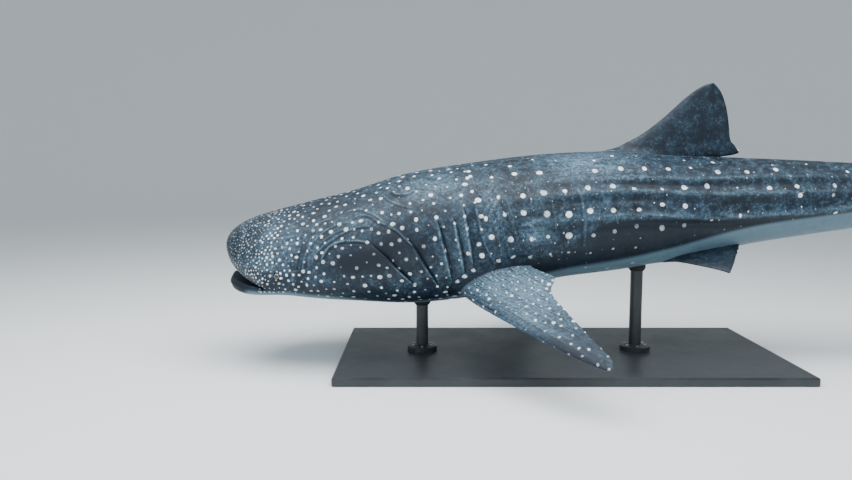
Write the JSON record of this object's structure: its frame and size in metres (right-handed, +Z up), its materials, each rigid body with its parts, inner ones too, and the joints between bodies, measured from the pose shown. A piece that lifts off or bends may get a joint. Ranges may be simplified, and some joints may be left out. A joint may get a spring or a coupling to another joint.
{
  "type": "whale shark display model",
  "caption": "Life-size still model of a swimming whale shark, spotted and ridged, mouth a little open, on a flat stand with upright rods.",
  "frame": {"origin": "on the floor, at the centre of the underside of the stand's base", "axes": "+X from the head towards the tail, +Y from the left flank to the right flank, +Z up"},
  "size_m": [6.896, 2.9266, 2.6058],
  "materials": {
    "skin": "satin, dark blue-grey with pale spots and a pale belly",
    "eye": "glossy",
    "stand": "satin dark grey paint"
  },
  "bodies": {
    "root": {"head": "skin", "lower_jaw": "skin", "gill_region": "skin", "trunk": "skin", "tail": "skin", "tail_stalk": "skin", "dorsal_fin_first": "skin", "dorsal_fin_second": "skin", "anal_fin": "skin", "caudal_fin_upper": "skin", "caudal_fin_lower": "skin", "pectoral_fin_left": "skin", "pectoral_fin_right": "skin", "pelvic_fin_left": "skin", "pelvic_fin_right": "skin", "eye_left": "eye", "eye_right": "eye", "stand_base": "stand", "stand_rod_front": "stand", "stand_rod_rear": "stand"}
  },
  "joints": []
}
